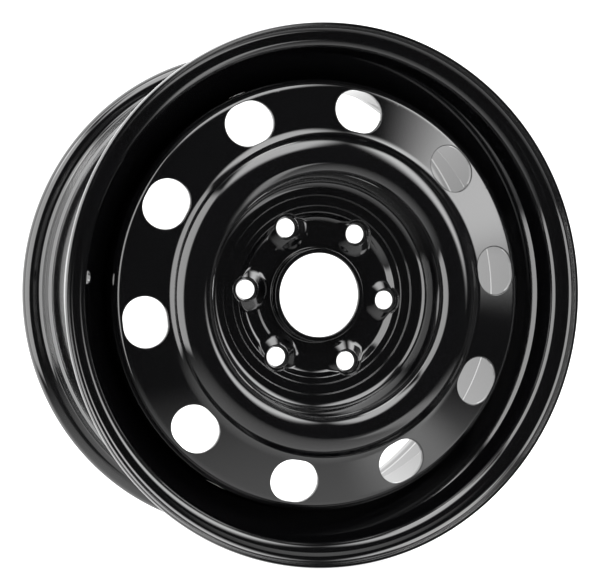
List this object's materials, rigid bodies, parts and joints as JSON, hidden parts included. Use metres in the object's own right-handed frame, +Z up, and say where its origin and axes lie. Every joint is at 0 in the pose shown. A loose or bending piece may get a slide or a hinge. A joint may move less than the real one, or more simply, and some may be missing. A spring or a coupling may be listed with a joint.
{
  "type": "steel wheel rim",
  "caption": "Pressed steel road wheel: a drop-centre rim with a dished disc welded inside, hand holes, lug holes with conical nut seats, a flanged hub bore and a valve hole.",
  "frame": {"origin": "centre of the hub mounting face, on the wheel's axis", "axes": "+Z up with the wheel upright, +Y along the axis towards the inboard side and the hub, -Y towards the outboard face"},
  "size_m": [0.471, 0.2188, 0.471],
  "materials": {
    "rim_paint": "gloss black enamel on rolled steel",
    "disc_paint": "gloss black enamel on pressed steel",
    "weld_paint": "gloss black enamel on weld metal"
  },
  "bodies": {
    "root": {"rim_barrel": "rim_paint", "wheel_disc": "disc_paint", "weld_beads": "weld_paint"}
  },
  "joints": []
}
